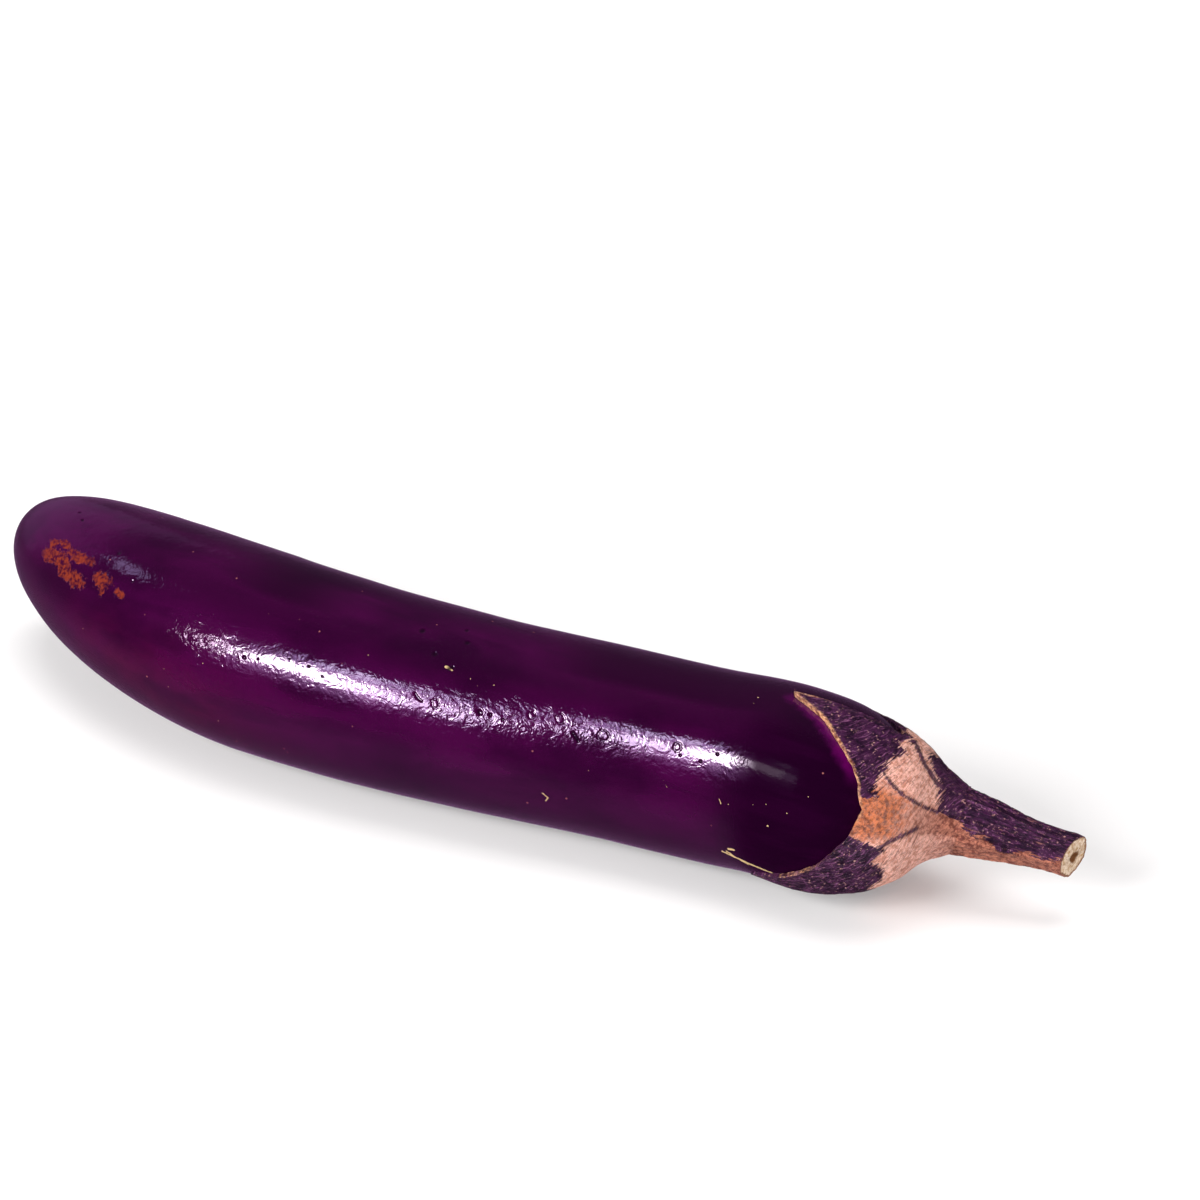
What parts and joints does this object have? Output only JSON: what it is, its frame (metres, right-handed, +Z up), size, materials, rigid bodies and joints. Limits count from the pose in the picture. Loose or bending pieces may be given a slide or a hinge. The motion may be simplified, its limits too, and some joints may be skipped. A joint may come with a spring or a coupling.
{
  "type": "eggplant",
  "caption": "Long slender eggplant lying on its side, gently bowed, with a lobed leathery calyx over its shoulder and a tapering cut stem.",
  "frame": {"origin": "centre of the bounding box in plan, on the surface that the eggplant lies on", "axes": "+X along its length from the blossom end towards the cut stem, +Z up, and the belly of the bow towards -Y"},
  "size_m": [0.2792, 0.0547, 0.0472],
  "materials": {
    "skin": "glossy waxy skin, dark violet purple, with a few small corky scars",
    "calyx": "dull wrinkled leathery calyx, dusky purple on the lobes and tan towards the neck",
    "stem": "dull ridged woody stem, dusky purple above and tan below, with a pale cut end"
  },
  "bodies": {
    "root": {"fruit": "skin", "calyx": "calyx", "stem": "stem"}
  },
  "joints": []
}
